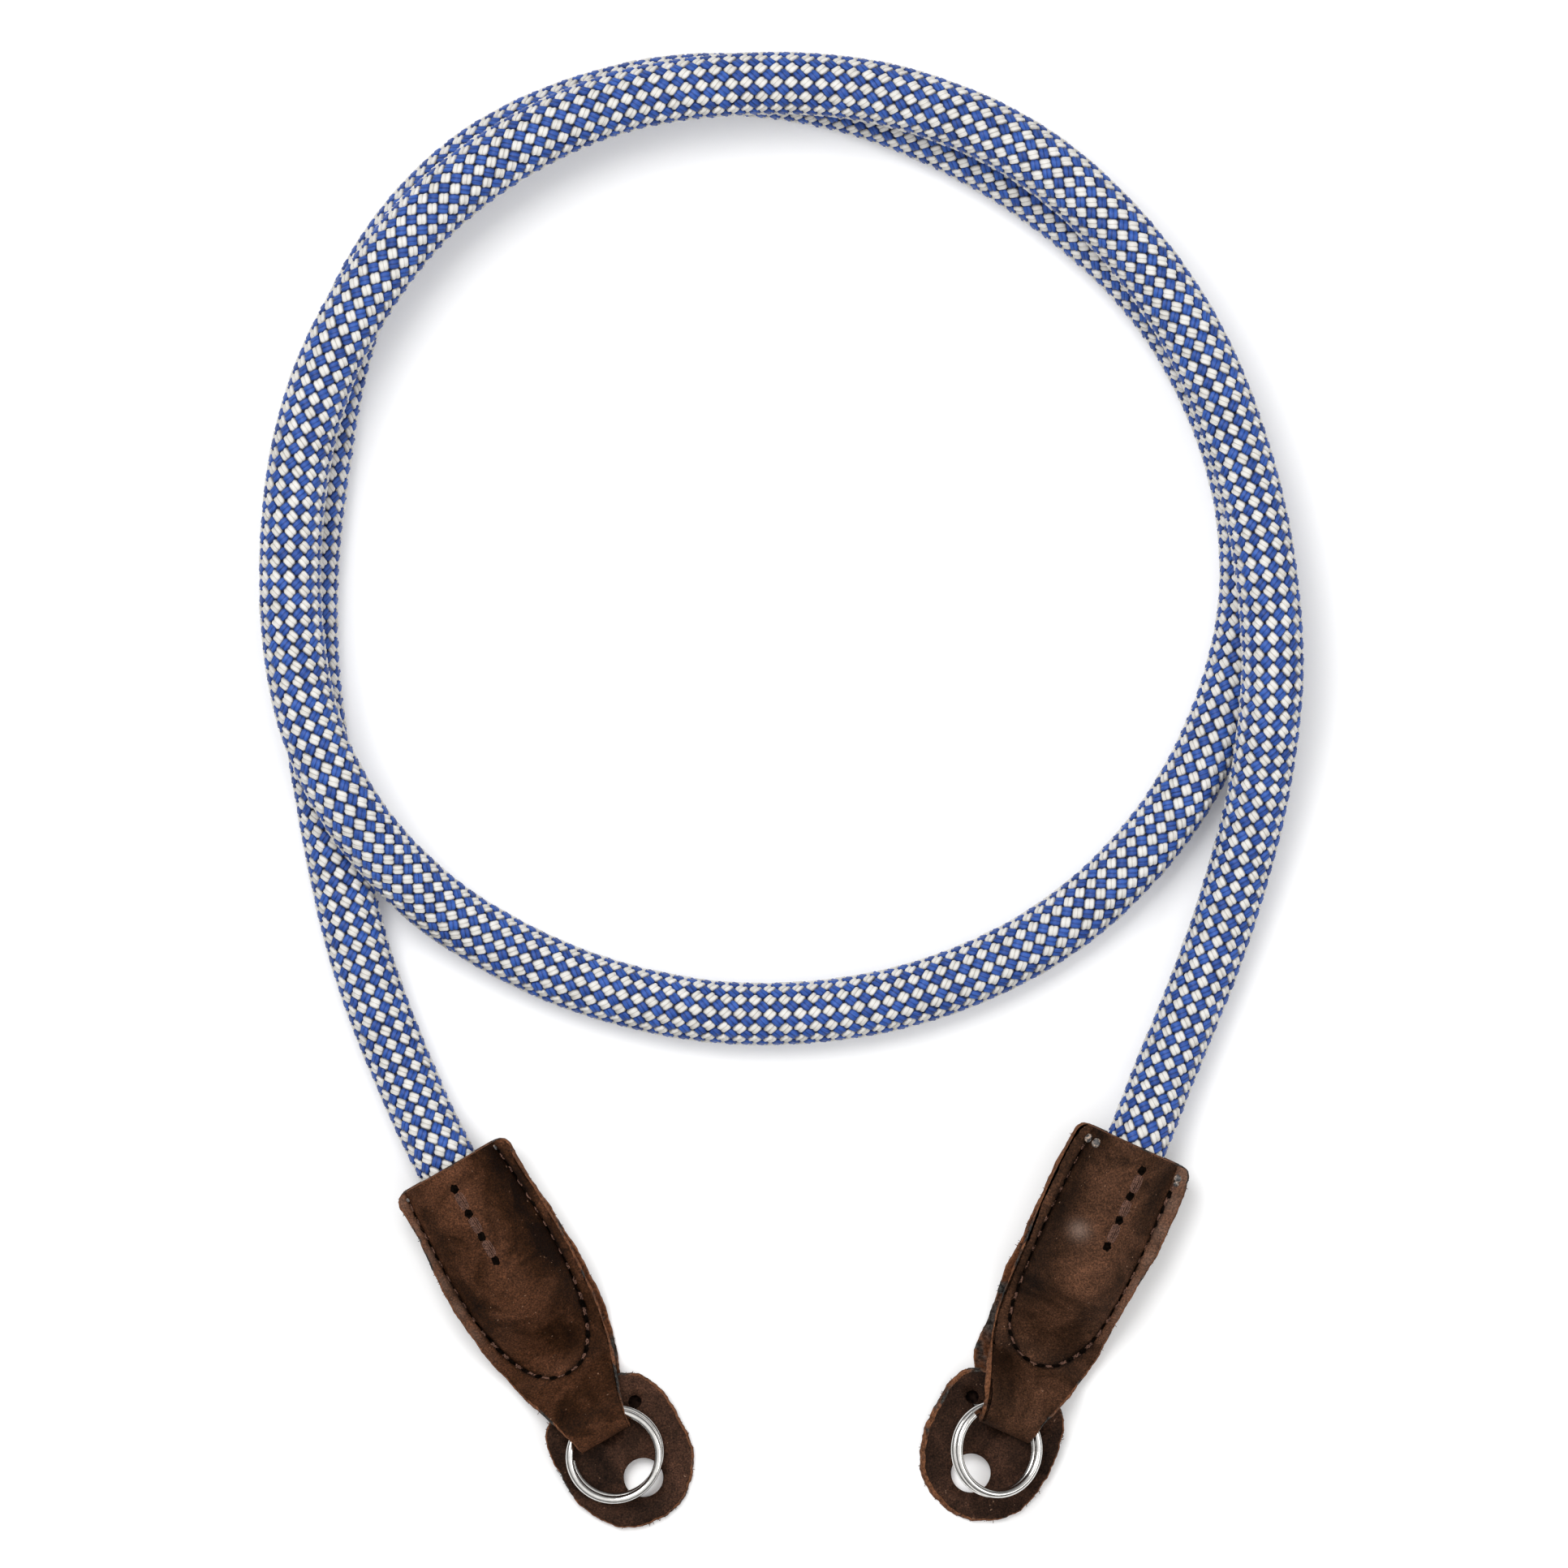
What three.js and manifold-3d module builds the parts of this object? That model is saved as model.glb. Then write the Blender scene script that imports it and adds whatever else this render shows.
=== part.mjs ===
// Camera neck strap: a round braided rope lying in one and a half turns, with a folded leather end,
// a split ring and a leather ring guard on each of its two ends. Millimetres, +Z up.
import * as THREE from "three";
import { mergeVertices } from "three/addons/utils/BufferGeometryUtils.js";
import Module from "manifold-3d";

const wasm = await Module();
wasm.setup();

// Rope
const ROPE_DIAMETER = 10;
const ROPE_SIDES = 12;
const ROPE_STEPS = 80;
const ROPE_CLEARANCE = 0.5;

// Leather ends, measured from the mouth where the rope goes in
const LEATHER = 1.4;
const SEAM_GAP = 0.3;
const END_LENGTH = 50.3;
const END_WIDTH = 21.2;
const POCKET_DEPTH = 21.5;
const DOME_END = 36.5;
const SEAM_END = END_LENGTH - 11.9;
const EDGE_MARGIN = 1.6;
const DOME_FULLNESS = 0.95;

// Split rings
const RING_DIAMETER = 15.5;
const RING_WIRE = 1.3;
const RING_SIDES = 6;
const RING_STEPS = 56;
const TURN_GAP = 0.08;
const CHANGEOVER = 30;
const WIRE_END_GAP = 10;
const RING_TURNS = 2;
const RING_ALONG = END_LENGTH + 2.7;
const LOOP_SLACK = 0.6;

// Ring guards
const GUARD = 1.6;
const GUARD_LENGTH = 24;
const GUARD_WIDTH = 21.2;
const GUARD_NEAR_EDGE = END_LENGTH - 8.5;
const GUARD_INWARD = 1.3;
const GUARD_SIDES = 32;
const NEAR_SQUARENESS = 3.4;
const TIP_SQUARENESS = 2.1;
const GUARD_HOLE = 6.3;
const HOLE_ALONG = END_LENGTH + 8.3;
const HOLE_INWARD = 2;
const SLIT_LENGTH = 14.6;
const SLIT_WIDTH = 3.4;
const SLIT_ALONG = END_LENGTH - 2.2;
const SLIT_PAST_STRIP = 0.3;
const SLIT_INWARD = 0.6;
const GUARD_LANDS_AT = END_LENGTH + 10.1;
const LANDING_BLEND = 2;

// Clearance between pieces that touch
const CLEAR = 0.3;

// How far each lower layer shows past the upper one, and where each ring's wire ends, in degrees
// round from the tip.
const LEFT_SKEW = 0.8;
const RIGHT_SKEW = 2;
const LEFT_WIRE_END = 180;
const RIGHT_WIRE_END = 132;

// The rope's centre line, from inside the left leather end to inside the right one.
// The first pass lies on the table, and the second lies on top of it.
const ROPE_ROUTE = [
  [-44.6, 7.46, 6.9],
  [-54.9, 25.3, 6.9],
  [-61.5, 39.1, 5.4],
  [-68.8, 58.5, 5.05],
  [-74.1, 82.6, 5.05],
  [-77.3, 108, 5.05],
  [-76, 132.4, 5.05],
  [-68.7, 163.6, 5.05],
  [-50.7, 185.4, 5.05],
  [-22.3, 196.6, 5.05],
  [6, 195.2, 5.05],
  [34.4, 183, 5.05],
  [58.1, 162.2, 5.05],
  [70.6, 136.5, 5.05],
  [72.2, 112.1, 5.05],
  [62.3, 84.9, 5.05],
  [44.2, 64.8, 5.05],
  [19.7, 52.8, 5.05],
  [-7.4, 49.5, 5.1],
  [-30.6, 53.6, 5.6],
  [-50, 62.5, 7.1],
  [-61.6, 71.5, 10.3],
  [-70.6, 82.7, 14.3],
  [-77.1, 97.2, 14.9],
  [-79.7, 117.8, 14.9],
  [-77.4, 141, 14.9],
  [-70.5, 159.1, 15.1],
  [-55.5, 178.5, 15.1],
  [-32.3, 192.5, 15.1],
  [-7.4, 197, 15.1],
  [17.1, 194.7, 15.1],
  [40.3, 183.9, 15],
  [60.7, 161.4, 14.9],
  [71.9, 134.5, 14.9],
  [75.9, 107.5, 14.7],
  [74.1, 86.2, 9.9],
  [68.1, 63.2, 5.9],
  [58.7, 39.2, 5.6],
  [54.5, 28.7, 6.9],
  [45.99, 10.11, 6.9],
];

// The two ends. The rope enters each one at its mouth and points towards its tip, and inner is the
// side that faces the other end.
const ENDS = [
  {
    side: "left",
    mouth: ROPE_ROUTE.at(1),
    tip: ROPE_ROUTE.at(0),
    inner: 1,
    skew: LEFT_SKEW,
    wireEnd: LEFT_WIRE_END,
  },
  {
    side: "right",
    mouth: ROPE_ROUTE.at(-2),
    tip: ROPE_ROUTE.at(-1),
    inner: -1,
    skew: RIGHT_SKEW,
    wireEnd: RIGHT_WIRE_END,
  },
];

const ROPE_FINISH = new THREE.MeshStandardMaterial({ color: 0x6f86c4, roughness: 0.75 });
const LEATHER_FINISH = new THREE.MeshStandardMaterial({ color: 0x3f2a20, roughness: 0.65 });
const STEEL_FINISH = new THREE.MeshStandardMaterial({ color: 0xb9b6ae, roughness: 0.25, metalness: 1 });

// Half the width of a leather end, as shares of its length and of half its greatest width.
const WIDTH_ROWS = [
  { along: 0, half: 0.84 },
  { along: 0.1, half: 0.935 },
  { along: 0.2, half: 0.975 },
  { along: 0.35, half: 1 },
  { along: 0.5, half: 0.97 },
  { along: 0.62, half: 0.9 },
  { along: 0.74, half: 0.775 },
  { along: 0.86, half: 0.59 },
  { along: 0.94, half: 0.46 },
  { along: 1, half: 0.4 },
];

// The ring and its guard lie parallel, sloping from the fold down to the table.
const FOLD_RISE = LEATHER + CLEAR;
const GUARD_SLOPE = FOLD_RISE / (GUARD_LANDS_AT - SLIT_ALONG);
const GUARD_TILT = Math.atan(GUARD_SLOPE);
const RING_HEIGHT = 2 * RING_WIRE + TURN_GAP;
const RING_RADIUS = (RING_DIAMETER - RING_WIRE) / 2;
const RING_SEAT = CLEAR + (GUARD_SLOPE * LANDING_BLEND) / 2;

// Height of the guard's lower face above the table, at a distance along the end.
function guardRest(along) {
  const before = GUARD_LANDS_AT - along;
  if (before <= -LANDING_BLEND) return 0;
  if (before >= LANDING_BLEND) return before * GUARD_SLOPE;
  return (GUARD_SLOPE * (before + LANDING_BLEND) ** 2) / (4 * LANDING_BLEND);
}

// A round section for a tube, its corners on the circle.
function roundSection(diameter, sides) {
  const corners = [];
  for (let i = 0; i < sides; i++) {
    const turn = (2 * Math.PI * i) / sides;
    corners.push(new THREE.Vector2(Math.cos(turn), Math.sin(turn)).multiplyScalar(diameter / 2));
  }
  return new THREE.Shape(corners);
}

function tubeAlong(path, diameter, sides, steps) {
  return new THREE.ExtrudeGeometry(roundSection(diameter, sides), { extrudePath: path, steps });
}

function solidFrom(geometry) {
  const bare = geometry.clone();
  bare.deleteAttribute("normal");
  bare.deleteAttribute("uv");
  const merged = mergeVertices(bare, 1e-3);
  return new wasm.Manifold(
    new wasm.Mesh({
      numProp: 3,
      vertProperties: new Float32Array(merged.attributes.position.array),
      triVerts: new Uint32Array(merged.index.array),
    }),
  );
}

function geometryFrom(solid) {
  const mesh = solid.getMesh();
  const geometry = new THREE.BufferGeometry();
  geometry.setAttribute("position", new THREE.BufferAttribute(new Float32Array(mesh.vertProperties), 3));
  geometry.setIndex(new THREE.BufferAttribute(new Uint32Array(mesh.triVerts), 1));
  geometry.computeVertexNormals();
  return geometry;
}

// Width of the folded strip

const widthAlong = new THREE.CubicInterpolant(
  WIDTH_ROWS.map((row) => row.along),
  WIDTH_ROWS.map((row) => row.half),
  1,
);

function halfWidth(along) {
  const share = THREE.MathUtils.clamp(along / END_LENGTH, 0, 1);
  return (widthAlong.evaluate(share)[0] * END_WIDTH) / 2;
}

// How far each layer bulges round the rope: full over the pocket, gone before the seam's end.
const FULL_BULGE = (ROPE_DIAMETER - SEAM_GAP) / 2 + ROPE_CLEARANCE;

function bulge(along, across) {
  const seam = halfWidth(along) - EDGE_MARGIN;
  const inside = Math.max(0, 1 - (across / seam) ** 2);
  const fade = 1 - THREE.MathUtils.smoothstep(along, POCKET_DEPTH, DOME_END);
  return { crown: FULL_BULGE * fade, share: inside ** DOME_FULLNESS };
}

// The strip's centre line seen from the side, as along and height: out along the table, up through
// the guard's slit, round the ring's wire and back over the ring to the mouth.
function foldLine() {
  const low = LEATHER / 2;
  const upper = low + LEATHER + SEAM_GAP;
  const slit = guardRest(SLIT_ALONG) + GUARD / 2;
  const nearWire = RING_ALONG - RING_RADIUS;
  const ringTop = guardRest(nearWire) + GUARD + RING_SEAT + RING_HEIGHT;
  const overRing = ringTop + LOOP_SLACK + LEATHER / 2;
  const bend = END_LENGTH - LEATHER / 2;
  const overGuard = guardRest(GUARD_NEAR_EDGE) + GUARD + CLEAR + LEATHER / 2;
  const stops = [
    [0, low],
    [POCKET_DEPTH, low],
    [SEAM_END, low],
    [SLIT_ALONG - 1.4 * LEATHER, low],
    [SLIT_ALONG - 0.4 * LEATHER, low + 0.4 * LEATHER],
    [SLIT_ALONG, slit],
    [bend - 0.1 * LEATHER, slit + LEATHER],
    [bend, overRing - 1.7 * LEATHER],
    [bend - 0.5 * LEATHER, overRing - 0.5 * LEATHER],
    [nearWire, overRing],
    [GUARD_NEAR_EDGE + LEATHER, overGuard + 0.8 * LEATHER],
    [GUARD_NEAR_EDGE - 0.5 * LEATHER, overGuard - 0.3 * LEATHER],
    [SEAM_END, upper + 0.2 * LEATHER],
    [SEAM_END - LEATHER, upper],
    [POCKET_DEPTH, upper],
    [0, upper],
  ];
  const points = stops.map(([along, height]) => new THREE.Vector3(along, height, 0));
  return new THREE.CatmullRomCurve3(points, false, "centripetal");
}

// One strip of leather, folded at the ring and sewn round the rope.
function leatherEnd(inner, skew) {
  const lengthSteps = 58;
  const widthSteps = 10;
  const line = foldLine();
  line.arcLengthDivisions = 400;

  function middle(share, across) {
    const at = line.getPointAt(THREE.MathUtils.clamp(share, 0, 1));
    const isLower = share < 0.5;
    const half = halfWidth(at.x);
    const { crown, share: full } = bulge(at.x, across * half);
    const lift = isLower ? crown * (1 - full) : crown * (1 + full);
    const spread = isLower ? skew * (1 - full) : 0;
    const drift = inner * spread * Math.sin((Math.PI * at.x) / END_LENGTH) ** 2;
    return new THREE.Vector3(at.x, across * half + drift, Math.max(at.y, LEATHER / 2) + lift);
  }

  const strip = new THREE.BoxGeometry(1, 1, 1, lengthSteps, widthSteps, 1);
  const corners = strip.attributes.position;
  const nudge = 1e-3;
  for (let i = 0; i < corners.count; i++) {
    const share = corners.getX(i) + 0.5;
    const across = 2 * corners.getY(i);
    const start = Math.max(0, share - nudge);
    const stop = Math.min(1, share + nudge);
    const forward = middle(stop, across).sub(middle(start, across));
    const sideways = middle(share, across + nudge).sub(middle(share, across - nudge));
    const normal = forward.cross(sideways).normalize();
    const point = middle(share, across).addScaledVector(normal, corners.getZ(i) * LEATHER);
    corners.setXYZ(i, point.x, point.y, point.z);
  }
  strip.computeVertexNormals();
  return strip;
}

// Two turns of round wire, side by side, that change over in one short step. Angles in degrees.
class SplitRing extends THREE.Curve {
  constructor(inner, wireEnd) {
    super();
    this.inner = inner;
    this.wireEnd = wireEnd;
  }
  getPoint(share, target = new THREE.Vector3()) {
    const sweep = 360 * RING_TURNS - 2 * CHANGEOVER - WIRE_END_GAP;
    const turned = share * sweep;
    const changeAt = sweep / 2;
    const start = changeAt - CHANGEOVER;
    const level = THREE.MathUtils.smoothstep(turned, start, changeAt + CHANGEOVER) - 0.5;
    const angle = THREE.MathUtils.degToRad(this.wireEnd - sweep + turned);
    return target.set(
      RING_RADIUS * Math.cos(angle),
      this.inner * RING_RADIUS * Math.sin(angle),
      level * (RING_WIRE + TURN_GAP),
    );
  }
}

function splitRing(inner, wireEnd) {
  return tubeAlong(new SplitRing(inner, wireEnd), RING_WIRE, RING_SIDES, RING_STEPS);
}

// Distance from the guard's middle to its edge: squarer towards the rope, rounder at the tip.
function guardRadius(towards, sideways) {
  const power = towards < 0 ? NEAR_SQUARENESS : TIP_SQUARENESS;
  const alongPart = Math.abs(towards / (GUARD_LENGTH / 2)) ** power;
  const acrossPart = Math.abs(sideways / (GUARD_WIDTH / 2)) ** power;
  return (alongPart + acrossPart) ** (-1 / power);
}

// A slot with round ends, or a hole where its length equals its width, cut down through the guard.
function cutter(along, across, width, length) {
  const radius = width / 2;
  const reach = (length - width) / 2;
  const outline = new THREE.Shape();
  outline.absarc(along, across + reach, radius, 0, Math.PI);
  outline.absarc(along, across - reach, radius, Math.PI, 2 * Math.PI);
  const depth = 4 * (GUARD + FOLD_RISE);
  const prism = new THREE.ExtrudeGeometry(outline, { depth, bevelEnabled: false, curveSegments: 8 });
  prism.translate(0, 0, -depth / 2);
  return solidFrom(prism);
}

// A flat leather disc with a punched hole and a slit, bent where it comes down to the table.
function ringGuard(inner) {
  const rims = [0, 0.35, 0.6, 0.8, 0.92, 1];
  const below = rims.map((rim) => new THREE.Vector2(rim, 0));
  const above = rims.map((rim) => new THREE.Vector2(rim, 1)).reverse();
  const disc = new THREE.LatheGeometry([...below, ...above], GUARD_SIDES);
  const corners = disc.attributes.position;
  const middle = GUARD_NEAR_EDGE + GUARD_LENGTH / 2;
  for (let i = 0; i < corners.count; i++) {
    const towards = corners.getX(i);
    const sideways = -corners.getZ(i);
    const rim = Math.hypot(towards, sideways);
    const reach = rim > 0 ? guardRadius(towards / rim, sideways / rim) : 0;
    const along = middle + towards * reach;
    const across = sideways * reach + inner * GUARD_INWARD;
    corners.setXYZ(i, along, across, guardRest(along) + corners.getY(i) * GUARD);
  }
  const slitMiddle = SLIT_ALONG + SLIT_PAST_STRIP;
  const slit = cutter(slitMiddle, inner * SLIT_INWARD, SLIT_WIDTH, SLIT_LENGTH);
  const hole = cutter(HOLE_ALONG, inner * HOLE_INWARD, GUARD_HOLE, GUARD_HOLE);
  return geometryFrom(solidFrom(disc).subtract(slit).subtract(hole));
}

function piece(name, geometry, finish) {
  const mesh = new THREE.Mesh(geometry, finish);
  mesh.name = name;
  return mesh;
}

const strap = new THREE.Group();

const route = new THREE.CatmullRomCurve3(
  ROPE_ROUTE.map(([x, y, z]) => new THREE.Vector3(x, y, z)),
  false,
  "centripetal",
);
strap.add(piece("rope", tubeAlong(route, ROPE_DIAMETER, ROPE_SIDES, ROPE_STEPS), ROPE_FINISH));

for (const { side, mouth, tip, inner, skew, wireEnd } of ENDS) {
  const end = new THREE.Group();
  end.position.set(mouth[0], mouth[1], 0);
  end.rotation.z = Math.atan2(tip[1] - mouth[1], tip[0] - mouth[0]);
  end.add(piece(`${side}_leather_end`, leatherEnd(inner, skew), LEATHER_FINISH));
  end.add(piece(`${side}_ring_guard`, ringGuard(inner), LEATHER_FINISH));

  const ring = piece(`${side}_ring`, splitRing(inner, wireEnd), STEEL_FINISH);
  ring.rotation.y = GUARD_TILT;
  ring.position.set(RING_ALONG, 0, guardRest(RING_ALONG) + GUARD + RING_SEAT + RING_HEIGHT / 2);
  end.add(ring);
  strap.add(end);
}

export default strap;
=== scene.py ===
import math

import bmesh
import bpy
import numpy as np
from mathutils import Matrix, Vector


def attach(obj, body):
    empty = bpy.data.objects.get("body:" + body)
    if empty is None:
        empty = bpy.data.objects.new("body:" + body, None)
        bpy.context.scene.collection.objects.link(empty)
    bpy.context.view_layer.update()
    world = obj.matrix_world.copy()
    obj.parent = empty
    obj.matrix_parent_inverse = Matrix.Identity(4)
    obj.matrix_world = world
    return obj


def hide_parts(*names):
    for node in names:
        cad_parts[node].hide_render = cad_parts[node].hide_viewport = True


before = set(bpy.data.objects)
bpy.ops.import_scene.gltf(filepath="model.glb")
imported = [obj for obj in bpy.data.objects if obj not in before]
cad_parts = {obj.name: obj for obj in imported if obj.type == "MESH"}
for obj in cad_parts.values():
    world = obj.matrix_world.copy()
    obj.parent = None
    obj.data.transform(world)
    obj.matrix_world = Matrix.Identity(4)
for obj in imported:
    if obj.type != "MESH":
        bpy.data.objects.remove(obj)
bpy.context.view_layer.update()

MM = 0.001

# Camera. The strap lies on a table and is seen from straight above through a long lens, so that every
# upright edge stays in line with the eye.
VIEW_WIDTH = 249.29 * MM
VIEW_MIDDLE = (-1.48 * MM, 86.06 * MM)
VIEW_HEIGHT = 2.4
STRAP_LEVEL = 7 * MM
SENSOR = 36

lens = bpy.data.cameras.new("camera")
lens.sensor_width = SENSOR
lens.lens = SENSOR * VIEW_HEIGHT / VIEW_WIDTH
lens.clip_end = 10
camera = bpy.data.objects.new("camera", lens)
camera.location = (*VIEW_MIDDLE, VIEW_HEIGHT + STRAP_LEVEL)
bpy.context.collection.objects.link(camera)
bpy.context.scene.camera = camera

# Rope. A firm core under a tight cover, braided from twelve white and twelve blue yarns that wind in
# opposite directions, over one and under one. It lies in one and a half turns on the table.
ROUTE = [
    (-0.0446, 0.00746, 0.0069), (-0.0549, 0.0253, 0.0069), (-0.0615, 0.0391, 0.0054),
    (-0.0688, 0.0585, 0.00505), (-0.0741, 0.0826, 0.00505), (-0.0773, 0.108, 0.00505),
    (-0.076, 0.1324, 0.00505), (-0.0687, 0.1636, 0.00505), (-0.0507, 0.1854, 0.00505),
    (-0.0223, 0.1966, 0.00505), (0.006, 0.1952, 0.00505), (0.0344, 0.183, 0.00505),
    (0.0581, 0.1622, 0.00505), (0.0706, 0.1365, 0.00505), (0.0722, 0.1121, 0.00505),
    (0.0623, 0.0849, 0.00505), (0.0442, 0.0648, 0.00505), (0.0197, 0.0528, 0.00505),
    (-0.0074, 0.0495, 0.0051), (-0.0306, 0.0536, 0.0056), (-0.05, 0.0625, 0.0071),
    (-0.0616, 0.0715, 0.0103), (-0.0706, 0.0827, 0.0143), (-0.0771, 0.0972, 0.0149),
    (-0.0797, 0.1178, 0.0149), (-0.0774, 0.141, 0.0149), (-0.0705, 0.1591, 0.0151),
    (-0.0555, 0.1785, 0.0151), (-0.0323, 0.1925, 0.0151), (-0.0074, 0.197, 0.0151),
    (0.0171, 0.1947, 0.0151), (0.0403, 0.1839, 0.015), (0.0607, 0.1614, 0.0149),
    (0.0719, 0.1345, 0.0149), (0.0759, 0.1075, 0.0147), (0.0741, 0.0862, 0.0099),
    (0.0681, 0.0632, 0.0059), (0.0587, 0.0392, 0.0056), (0.0545, 0.0287, 0.0069),
    (0.04599, 0.01011, 0.0069),
]
ROPE_RADIUS = 5.0 * MM
CORE_RADIUS = 4.42 * MM
YARNS = 12
PICK_PITCH = 2.38 * MM
PICK_LENGTH = 2.35 * MM
PICK_WIDTH = 1.82 * MM
END_SINK = 0.62 * MM
SIDE_SINK = 0.45 * MM
PLY_GROOVE = 0.24 * MM
END_TAPER = 0.62
PICK_JITTER = 0.035 * MM
TONE_RANGE = 0.28


def smooth_line(points, per_span=40):
    """A dense line through the points, on the same curve as the rope's route in the CAD."""
    points = np.asarray(points, float)
    before, after = 2 * points[0] - points[1], 2 * points[-1] - points[-2]
    p = np.vstack([before, points, after])
    dense = []
    for i in range(1, len(p) - 2):
        four = p[i - 1:i + 3]
        gaps = np.linalg.norm(np.diff(four, axis=0), axis=1) ** 0.5
        t0, t1, t2, t3 = np.concatenate([[0], np.cumsum(gaps)])
        t = np.linspace(t1, t2, per_span, endpoint=False)[:, None]
        a1 = (t1 - t) / (t1 - t0) * four[0] + (t - t0) / (t1 - t0) * four[1]
        a2 = (t2 - t) / (t2 - t1) * four[1] + (t - t1) / (t2 - t1) * four[2]
        a3 = (t3 - t) / (t3 - t2) * four[2] + (t - t2) / (t3 - t2) * four[3]
        b1 = (t2 - t) / (t2 - t0) * a1 + (t - t0) / (t2 - t0) * a2
        b2 = (t3 - t) / (t3 - t1) * a2 + (t - t1) / (t3 - t1) * a3
        dense.append((t2 - t) / (t2 - t1) * b1 + (t - t1) / (t2 - t1) * b2)
    return np.vstack(dense + [points[-1:]])


def run_lengths(line):
    """Distance along a line at each of its points."""
    return np.concatenate([[0], np.cumsum(np.linalg.norm(np.diff(line, axis=0), axis=1))])


def point_on(line, runs, where):
    """Points on a line at the given distances along it."""
    return np.stack([np.interp(where, runs, line[:, k]) for k in range(line.shape[1])], axis=1)


def unit(rows):
    """Each row at a length of one."""
    return rows / np.linalg.norm(rows, axis=1)[:, None]


route = smooth_line(ROUTE)
route_runs = run_lengths(route)
ROPE_LENGTH = route_runs[-1]


def lay_on_route(straight):
    """Bends what lies along the X axis onto the rope's route, its upper side staying up."""
    where = straight[:, 0]
    here = point_on(route, route_runs, where)
    ahead = point_on(route, route_runs, np.clip(where + MM, 0, ROPE_LENGTH))
    behind = point_on(route, route_runs, np.clip(where - MM, 0, ROPE_LENGTH))
    forward = unit(ahead - behind)
    side = unit(np.cross(forward, [0.0, 0.0, 1.0]))
    up = np.cross(side, forward)
    return here + side * straight[:, 1:2] + up * straight[:, 2:3]


def add_piece(name, bm, materials, smooth=True):
    """Makes an object of a bmesh, with its materials, and links it."""
    mesh = bpy.data.meshes.new(name)
    bm.to_mesh(mesh)
    bm.free()
    mesh.polygons.foreach_set("use_smooth", [smooth] * len(mesh.polygons))
    piece = bpy.data.objects.new(name, mesh)
    for material in materials:
        mesh.materials.append(material)
    bpy.context.collection.objects.link(piece)
    return piece


def round_line(name, lines, radius, roundness, material):
    """Makes a curve object with a round section, with one spline for each line of points."""
    curve = bpy.data.curves.new(name, "CURVE")
    curve.dimensions = "3D"
    curve.bevel_depth = radius
    curve.bevel_resolution = roundness
    curve.use_fill_caps = True
    for points in lines:
        spline = curve.splines.new("POLY")
        spline.points.add(len(points) - 1)
        spline.points.foreach_set("co", np.hstack([points, np.ones((len(points), 1))]).ravel())
    curve.materials.append(material)
    piece = bpy.data.objects.new(name, curve)
    bpy.context.collection.objects.link(piece)
    return piece


def new_material(name):
    """A node material and its shader."""
    material = bpy.data.materials.new(name)
    material.use_nodes = True
    return material, material.node_tree, material.node_tree.nodes["Principled BSDF"]


def node(tree, kind, **settings):
    """Adds a node; names that are sockets set the socket, others the node's own settings."""
    made = tree.nodes.new(kind)
    for key, value in settings.items():
        if hasattr(made, key):
            setattr(made, key, value)
        else:
            made.inputs[key.replace("_", " ")].default_value = value
    return made


def ramp(tree, factor, *stops):
    """A colour ramp driven by a factor."""
    made = tree.nodes.new("ShaderNodeValToRGB")
    tree.links.new(factor, made.inputs["Fac"])
    while len(made.color_ramp.elements) < len(stops):
        made.color_ramp.elements.new(0.5)
    for element, (place, colour) in zip(made.color_ramp.elements, stops):
        element.position = place
        element.color = (*colour, 1)
    return made.outputs["Color"]


def grained_material(name, scale, detail, *stops, **finish):
    """A material whose colour follows one fine noise; finish sets the shader's other inputs."""
    material, tree, shader = new_material(name)
    place = node(tree, "ShaderNodeTexCoord")
    grain = node(tree, "ShaderNodeTexNoise", Scale=scale, Detail=detail)
    tree.links.new(place.outputs["Object"], grain.inputs["Vector"])
    tree.links.new(ramp(tree, grain.outputs["Fac"], *stops), shader.inputs["Base Color"])
    for key, value in finish.items():
        shader.inputs[key.replace("_", " ")].default_value = value
    return material, grain


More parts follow.
